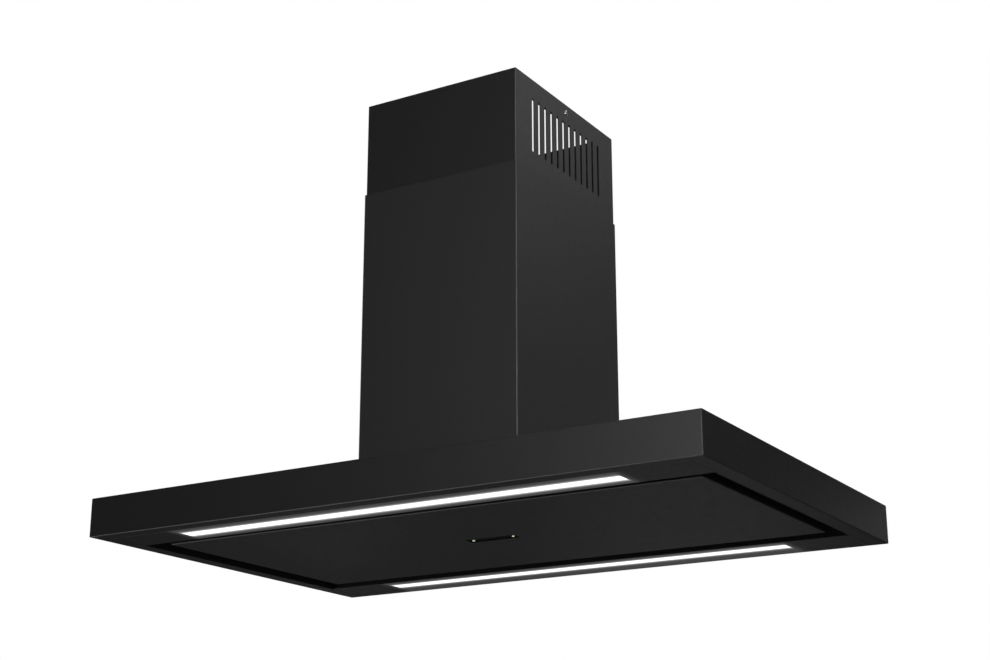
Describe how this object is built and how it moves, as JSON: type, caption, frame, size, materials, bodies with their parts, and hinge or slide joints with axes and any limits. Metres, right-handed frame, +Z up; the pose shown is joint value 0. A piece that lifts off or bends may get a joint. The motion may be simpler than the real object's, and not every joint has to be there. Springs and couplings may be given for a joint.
{
  "type": "island chimney range hood",
  "caption": "Ceiling-hung island range hood: slim flat canopy with hinged suction panel and light strips, under a telescopic rectangular chimney with side vents.",
  "frame": {"origin": "centre of the ceiling anchor pattern, in the plane of the ceiling", "axes": "+Z up to the ceiling, X along the canopy's long side, -Y the front"},
  "size_m": [0.9, 0.6, 0.615],
  "materials": {
    "black_powder_coat": "satin black, fine texture",
    "galvanised_steel": "galvanised sheet",
    "zinc_plated_steel": "bright zinc",
    "turned_steel": "ground",
    "black_plastic": "moulded",
    "grey_plastic": "moulded",
    "cast_aluminium": "die cast",
    "bronze": "sintered",
    "aluminium_can": "drawn",
    "rubber": "matte",
    "aluminium_profile": "anodised",
    "aluminium_mesh": "layered mesh",
    "white_board": "white lacquer",
    "opal_diffuser": "opal",
    "ferrite": "moulded ferrite",
    "dark_window": "gloss",
    "green_light": "clear"
  },
  "bodies": {
    "ceiling_side": {"ceiling_bracket": "galvanised_steel", "upper_chimney_cover": "black_powder_coat", "cover_screws": "zinc_plated_steel", "bracket_bolts": "zinc_plated_steel", "upper_upright_front_left": "galvanised_steel", "upper_upright_front_right": "galvanised_steel", "upper_upright_rear_left": "galvanised_steel", "upper_upright_rear_right": "galvanised_steel"},
    "canopy": {"canopy_shell": "black_powder_coat", "lower_cover_front": "black_powder_coat", "lower_cover_rear": "black_powder_coat", "height_bolts": "zinc_plated_steel", "lower_upright_front_left": "galvanised_steel", "lower_upright_front_right": "galvanised_steel", "lower_upright_rear_left": "galvanised_steel", "lower_upright_rear_right": "galvanised_steel", "blower_box": "galvanised_steel", "left_scroll_half": "black_plastic", "right_scroll_half": "black_plastic", "motor": "cast_aluminium", "motor_bracket": "galvanised_steel", "motor_bearings": "bronze", "motor_capacitor": "aluminium_can", "outlet_collar": "black_plastic", "damper_spindle": "turned_steel", "cable_grommet": "rubber", "front_light_plate": "black_powder_coat", "front_light_channel": "aluminium_profile", "front_led_board": "white_board", "front_diffuser": "opal_diffuser", "rear_light_plate": "black_powder_coat", "rear_light_channel": "aluminium_profile", "rear_led_board": "white_board", "rear_diffuser": "opal_diffuser", "left_side_rail": "black_powder_coat", "right_side_rail": "black_powder_coat", "filter_pan": "galvanised_steel", "left_filter_frame": "aluminium_profile", "right_filter_frame": "aluminium_profile", "left_filter_mesh": "aluminium_mesh", "right_filter_mesh": "aluminium_mesh", "hinge_brackets": "galvanised_steel", "hinge_pins": "zinc_plated_steel", "catch_brackets": "galvanised_steel", "catch_magnets": "ferrite", "control_box": "black_plastic", "control_box_lid": "black_plastic", "led_driver": "black_plastic"},
    "fan_wheel": {"impeller": "grey_plastic", "motor_shaft": "turned_steel"},
    "front_flap": {"front_damper_flap": "black_plastic"},
    "rear_flap": {"rear_damper_flap": "black_plastic"},
    "left_latch": {"left_filter_latch": "grey_plastic"},
    "right_latch": {"right_filter_latch": "grey_plastic"},
    "panel": {"suction_panel": "black_powder_coat", "hinge_leaves": "galvanised_steel", "catch_strikes": "galvanised_steel", "sensor_housing": "black_plastic", "sensor_window": "dark_window", "status_lights": "green_light"}
  },
  "joints": [
    {"name": "height_slide", "type": "slide", "parent": "ceiling_side", "child": "canopy", "axis": [0, 0, 1], "range_m": [-0.28, 0.09]},
    {"name": "panel_hinge", "type": "hinge", "parent": "canopy", "child": "panel", "pos_m": [0, 0.178, -0.6033], "axis": [1, 0, 0], "range_deg": [0, 90]},
    {"name": "fan_spin", "type": "hinge", "parent": "canopy", "child": "fan_wheel", "pos_m": [0, 0.008, -0.457], "axis": [1, 0, 0], "continuous": true},
    {"name": "front_flap_hinge", "type": "hinge", "parent": "canopy", "child": "front_flap", "pos_m": [0, -0.02332, -0.30795], "axis": [-1, 0, 0], "range_deg": [0, 75]},
    {"name": "rear_flap_hinge", "type": "hinge", "parent": "canopy", "child": "rear_flap", "pos_m": [0, -0.02332, -0.30795], "axis": [1, 0, 0], "range_deg": [0, 75]},
    {"name": "left_latch_slide", "type": "slide", "parent": "canopy", "child": "left_latch", "axis": [0, 1, 0], "range_m": [0, 0.005], "stiffness_N_per_m": 600, "springref_m": -0.003},
    {"name": "right_latch_slide", "type": "slide", "parent": "canopy", "child": "right_latch", "axis": [0, 1, 0], "range_m": [0, 0.005], "stiffness_N_per_m": 600, "springref_m": -0.003}
  ]
}
